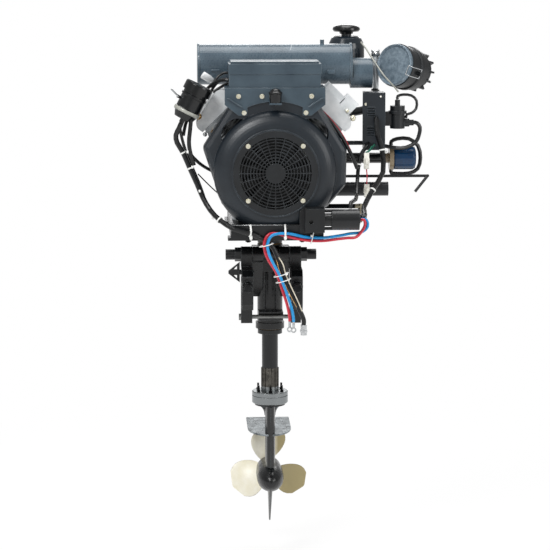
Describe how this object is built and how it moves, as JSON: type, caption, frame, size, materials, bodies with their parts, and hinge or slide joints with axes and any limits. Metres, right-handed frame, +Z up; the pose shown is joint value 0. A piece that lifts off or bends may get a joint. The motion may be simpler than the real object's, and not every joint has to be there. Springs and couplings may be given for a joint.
{
  "type": "marine diesel engine",
  "caption": "Outboard diesel: air-cooled V-twin with fan cowl, transom clamp with tilt and swivel, geared leg and three-bladed propeller.",
  "frame": {"origin": "centre of the four transom bolts, on the brackets' mounting face", "axes": "+X to the right seen from the bow, +Y aft towards the propeller, +Z up"},
  "size_m": [0.7357, 0.6229, 1.4384],
  "materials": {
    "black_paint": "satin",
    "charcoal_paint": "satin",
    "tank_paint": "satin",
    "bright_steel": "satin",
    "machined_steel": "satin",
    "cast_aluminium": "satin",
    "sheet_aluminium": "satin",
    "cover_steel": "satin",
    "plated_brass": "satin",
    "bronze": "satin",
    "zinc_plate": "satin",
    "black_plastic": "matt",
    "gloss_plastic": "gloss",
    "filter_blue": "gloss",
    "black_rubber": "matt",
    "white_nylon": "satin",
    "red_pvc": "satin",
    "blue_pvc": "satin",
    "cream_paint": "satin"
  },
  "bodies": {
    "clamp": {"clamp_bracket_left": "black_paint", "clamp_bracket_right": "black_paint", "tilt_tube": "black_paint", "thrust_rod": "bright_steel"},
    "pad_left": {"clamp_pad_left": "bright_steel"},
    "pad_right": {"clamp_pad_right": "bright_steel"},
    "screw_left": {"clamp_screw_left": "bright_steel"},
    "screw_right": {"clamp_screw_right": "bright_steel"},
    "lock": {"tilt_lock_lever": "black_paint"},
    "swivel": {"swivel_bracket": "black_paint", "steering_bushes": "bronze"},
    "outboard": {"base_frame": "black_paint", "fasteners": "zinc_plate", "leg_tube": "black_paint", "leg_casing": "bright_steel", "gearcase": "black_paint", "anti_ventilation_plate": "sheet_aluminium", "drive_shaft_bushes": "bronze", "bearing_carrier": "cast_aluminium", "bevel_box": "charcoal_paint", "crankcase": "cast_aluminium", "cylinders": "cast_aluminium", "cylinder_heads": "cast_aluminium", "rocker_covers": "cast_aluminium", "fan_cowl": "charcoal_paint", "cover_plate": "charcoal_paint", "fan_grille": "black_plastic", "muffler": "charcoal_paint", "electrics_box": "charcoal_paint", "fuel_tank": "tank_paint", "filter_housing": "black_plastic", "regulator_box": "charcoal_paint", "oil_filter": "filter_blue", "fuel_pump": "black_plastic", "fuel_lines": "black_rubber", "shift_actuator": "black_paint", "drain_tap": "plated_brass", "breather_canister": "gloss_plastic", "wiring_harness": "black_rubber", "cable_ties": "white_nylon", "lead_red": "red_pvc", "lead_blue": "blue_pvc", "lead_loom": "black_rubber", "lead_ends": "zinc_plate"},
    "crank": {"crankshaft": "machined_steel", "flywheel": "machined_steel", "fan": "black_plastic"},
    "drive": {"drive_shaft": "machined_steel"},
    "prop": {"prop_shaft": "machined_steel", "propeller": "cream_paint", "prop_nut": "bright_steel"},
    "tank_cap": {"tank_cap": "gloss_plastic"},
    "canister_cap": {"canister_cap": "gloss_plastic"},
    "box_lid": {"box_lid": "charcoal_paint"},
    "filter_cover": {"filter_cover": "cover_steel"},
    "filter_clip": {"filter_clip": "bright_steel"},
    "throttle": {"throttle_lever": "black_paint"},
    "tap": {"tap_lever": "plated_brass"},
    "plug": {"oil_plug": "black_rubber"},
    "bail": {"canister_bail": "bright_steel"}
  },
  "joints": [
    {"name": "pad_left_slide", "type": "slide", "parent": "clamp", "child": "pad_left", "axis": [0, 1, 0], "range_m": [-0.008, 0.02]},
    {"name": "screw_left_turn", "type": "hinge", "parent": "pad_left", "child": "screw_left", "pos_m": [-0.069, 0, 0.029], "axis": [0, 1, 0], "range_deg": [-962, 2402]},
    {"name": "pad_right_slide", "type": "slide", "parent": "clamp", "child": "pad_right", "axis": [0, 1, 0], "range_m": [-0.008, 0.02]},
    {"name": "screw_right_turn", "type": "hinge", "parent": "pad_right", "child": "screw_right", "pos_m": [0.069, 0, 0.029], "axis": [0, 1, 0], "range_deg": [-962, 2402]},
    {"name": "tilt_lock_turn", "type": "hinge", "parent": "clamp", "child": "lock", "pos_m": [0, -0.039, 0.061], "axis": [1, 0, 0], "range_deg": [0, 60]},
    {"name": "tilt", "type": "hinge", "parent": "clamp", "child": "swivel", "pos_m": [0, 0.009, 0.104], "axis": [1, 0, 0], "range_deg": [0, 40]},
    {"name": "steer", "type": "hinge", "parent": "swivel", "child": "outboard", "pos_m": [0, 0.075, 0], "axis": [0, 0, 1], "range_deg": [-35, 35]},
    {"name": "crank_spin", "type": "hinge", "parent": "outboard", "child": "crank", "pos_m": [0, 0, 0.368], "axis": [0, 1, 0], "continuous": true},
    {"name": "drive_spin", "type": "hinge", "parent": "outboard", "child": "drive", "pos_m": [0, 0.075, 0], "axis": [0, 0, 1], "continuous": true},
    {"name": "prop_spin", "type": "hinge", "parent": "outboard", "child": "prop", "pos_m": [0, 0, -0.555], "axis": [0, 1, 0], "continuous": true},
    {"name": "tank_cap_turn", "type": "hinge", "parent": "outboard", "child": "tank_cap", "pos_m": [0.215, 0.068, 0.715], "axis": [0, 0, 1], "range_deg": [0, 120]},
    {"name": "canister_cap_lift", "type": "slide", "parent": "outboard", "child": "canister_cap", "axis": [0.454, 0, 0.891], "range_m": [0, 0.04]},
    {"name": "box_lid_lift", "type": "slide", "parent": "outboard", "child": "box_lid", "axis": [0, 0, 1], "range_m": [0, 0.06]},
    {"name": "filter_cover_pull", "type": "slide", "parent": "outboard", "child": "filter_cover", "axis": [-0.6645, -0.7126, 0.225], "range_m": [0, 0.01]},
    {"name": "filter_clip_swing", "type": "hinge", "parent": "outboard", "child": "filter_clip", "pos_m": [0.41, -0.07536, 0.61654], "axis": [0.3375, -0.0176, 0.9412], "range_deg": [0, 60]},
    {"name": "throttle_swing", "type": "hinge", "parent": "outboard", "child": "throttle", "pos_m": [0, -0.069, 0.3338], "axis": [1, 0, 0], "range_deg": [-30, 30]},
    {"name": "tap_turn", "type": "hinge", "parent": "outboard", "child": "tap", "pos_m": [0, -0.142, 0.227], "axis": [1, 0, 0], "range_deg": [0, 90]},
    {"name": "oil_plug_turn", "type": "hinge", "parent": "outboard", "child": "plug", "pos_m": [0, -0.28725, 0.56], "axis": [0, 0, 1], "range_deg": [0, 90]},
    {"name": "bail_swing", "type": "hinge", "parent": "outboard", "child": "bail", "pos_m": [-0.26012, -0.222, 0.57047], "axis": [0, 1, 0], "range_deg": [-20, 40]}
  ],
  "couplings": [
    {"joint": "screw_left_turn", "follows": "pad_left_slide", "rad_per_m": 2094.4},
    {"joint": "screw_right_turn", "follows": "pad_right_slide", "rad_per_m": 2094.4},
    {"joint": "drive_spin", "follows": "crank_spin", "ratio": -1},
    {"joint": "prop_spin", "follows": "crank_spin", "ratio": 0.5},
    {"joint": "filter_clip_swing", "follows": "filter_cover_pull", "rad_per_m": 100}
  ]
}
